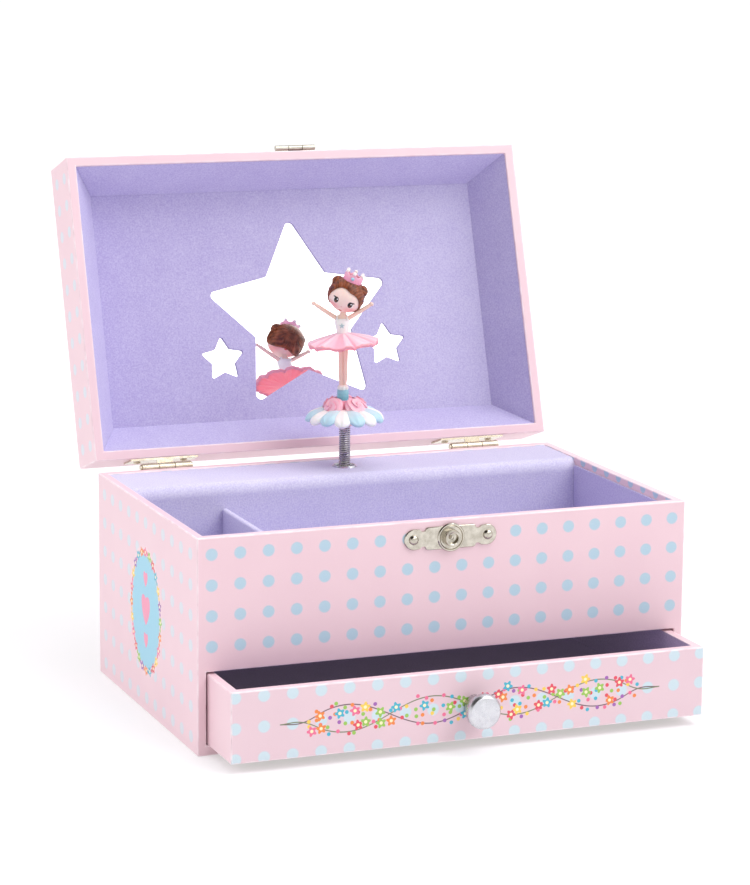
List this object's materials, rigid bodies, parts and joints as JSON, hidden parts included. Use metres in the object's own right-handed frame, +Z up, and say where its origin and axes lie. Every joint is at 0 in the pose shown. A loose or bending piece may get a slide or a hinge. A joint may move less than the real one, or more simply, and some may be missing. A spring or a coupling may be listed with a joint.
{
  "type": "ballerina jewellery box",
  "caption": "Paper-covered musical jewellery box with a hinged mirror lid, flocked tray, pull-out drawer and a dancer on a spring that turns with the movement.",
  "frame": {"origin": "centre of the underside of the case, on the table", "axes": "+X to the right seen from the front, +Y to the rear (hinge side), +Z up"},
  "size_m": [0.2, 0.2316, 0.2088],
  "materials": {
    "pink_paper_board": "printed paper over fibreboard, pale pink with light blue dots",
    "grey_board": "plain fibreboard",
    "lavender_flock": "flocked card",
    "aubergine_flock": "flocked card",
    "mirror": "silvered plastic",
    "nickel": "nickel plated steel",
    "pale_brass": "pale brass plated steel",
    "steel": "bright steel",
    "zinc_casting": "zinc casting",
    "brass": "turned brass",
    "white_nylon": "moulded nylon",
    "blue_and_white_plastic": "painted moulded plastic",
    "pink_plastic": "painted moulded plastic",
    "skin_plastic": "painted moulded plastic",
    "white_plastic": "painted moulded plastic"
  },
  "bodies": {
    "case": {"base_panel": "pink_paper_board", "left_side_panel": "pink_paper_board", "right_side_panel": "pink_paper_board", "rear_panel": "pink_paper_board", "front_panel": "pink_paper_board", "tray_deck": "grey_board", "tray_floor_lining": "lavender_flock", "tray_wall_lining": "lavender_flock", "tray_divider": "lavender_flock", "movement_cover": "lavender_flock", "spindle_grommet": "nickel", "clasp_plate": "nickel", "clasp_nails": "nickel", "hinge_case_leaves": "pale_brass", "hinge_pins": "pale_brass", "hinge_case_nails": "pale_brass", "movement_frame": "zinc_casting", "spindle_bracket": "zinc_casting", "comb": "steel", "movement_screws": "steel"},
    "lid": {"lid_top_panel": "pink_paper_board", "lid_left_wall": "pink_paper_board", "lid_right_wall": "pink_paper_board", "lid_front_wall": "pink_paper_board", "lid_rear_wall": "pink_paper_board", "lid_lining_front": "lavender_flock", "lid_lining_right": "lavender_flock", "lid_lining_rear": "lavender_flock", "lid_lining_left": "lavender_flock", "star_panel": "lavender_flock", "mirror": "mirror", "hinge_lid_leaves": "pale_brass", "hinge_lid_nails": "pale_brass", "hasp_plate": "nickel", "hasp_nails": "nickel"},
    "hasp": {"hasp_tongue": "nickel"},
    "drawer": {"drawer_front": "pink_paper_board", "drawer_left_side": "pink_paper_board", "drawer_right_side": "pink_paper_board", "drawer_back": "pink_paper_board", "drawer_bottom": "grey_board", "drawer_lining": "aubergine_flock", "drawer_knob": "nickel", "knob_screw": "steel"},
    "neck": {"dancer_spring": "steel"},
    "dancer": {"dancer_base": "blue_and_white_plastic", "dancer_roses": "pink_plastic", "dancer_legs": "skin_plastic", "dancer_tutu": "pink_plastic", "dancer_torso": "white_plastic", "dancer_head": "skin_plastic", "dancer_crown": "pink_plastic"},
    "cylinder": {"music_cylinder": "brass"},
    "barrel": {"spring_barrel": "brass"},
    "winder": {"winding_arbor": "steel", "winding_key": "nickel"},
    "governor": {"governor_wheel": "brass"},
    "fan": {"governor_fan": "white_nylon"},
    "spindle": {"spindle": "white_nylon"},
    "stop": {"stop_rod": "steel"}
  },
  "joints": [
    {"name": "lid_hinge", "type": "hinge", "parent": "case", "child": "lid", "pos_m": [0, 0.066, 0.0832], "axis": [-1, 0, 0], "range_deg": [-108, 0]},
    {"name": "hasp_hinge", "type": "hinge", "parent": "lid", "child": "hasp", "pos_m": [0.0006, 0.10876, 0.20768], "axis": [1, 0, 0], "range_deg": [0, 180]},
    {"name": "drawer_slide", "type": "slide", "parent": "case", "child": "drawer", "axis": [0, -1, 0], "range_m": [-0.0265, 0.06]},
    {"name": "cylinder_turn", "type": "hinge", "parent": "case", "child": "cylinder", "pos_m": [0.02, 0.0465, 0.056], "axis": [1, 0, 0], "continuous": true},
    {"name": "winding_turn", "type": "hinge", "parent": "case", "child": "winder", "pos_m": [0.0472, 0.06, 0.056], "axis": [0, 1, 0], "continuous": true},
    {"name": "barrel_turn", "type": "hinge", "parent": "case", "child": "barrel", "pos_m": [0.0472, 0.036, 0.056], "axis": [0, 1, 0], "continuous": true},
    {"name": "governor_turn", "type": "hinge", "parent": "case", "child": "governor", "pos_m": [0.007, 0.0465, 0.04475], "axis": [1, 0, 0], "continuous": true},
    {"name": "fan_turn", "type": "hinge", "parent": "case", "child": "fan", "pos_m": [0.007, 0.0365, 0.04475], "axis": [1, 0, 0], "continuous": true},
    {"name": "spindle_turn", "type": "hinge", "parent": "case", "child": "spindle", "pos_m": [0, 0.0465, 0.07], "axis": [0, 0, 1], "continuous": true},
    {"name": "dancer_bend", "type": "hinge", "parent": "case", "child": "neck", "pos_m": [0, 0.04385, 0.08265], "axis": [1, 0, 0], "range_deg": [0, 90], "deforming": ["dancer_spring"]},
    {"name": "dancer_turn", "type": "hinge", "parent": "neck", "child": "dancer", "pos_m": [0, 0.0465, 0.0995], "axis": [0, 0, 1], "continuous": true},
    {"name": "stop_slide", "type": "slide", "parent": "case", "child": "stop", "axis": [0, 0, 1], "range_m": [-0.0037, 0]}
  ],
  "couplings": [
    {"joint": "dancer_bend", "follows": "lid_hinge", "ratio": -0.83333},
    {"joint": "stop_slide", "follows": "lid_hinge", "m_per_rad": 0.0019629},
    {"joint": "barrel_turn", "follows": "cylinder_turn", "ratio": -0.48},
    {"joint": "spindle_turn", "follows": "cylinder_turn", "ratio": -0.8},
    {"joint": "dancer_turn", "follows": "cylinder_turn", "ratio": -0.8},
    {"joint": "governor_turn", "follows": "cylinder_turn", "ratio": -4},
    {"joint": "fan_turn", "follows": "cylinder_turn", "ratio": 12}
  ]
}
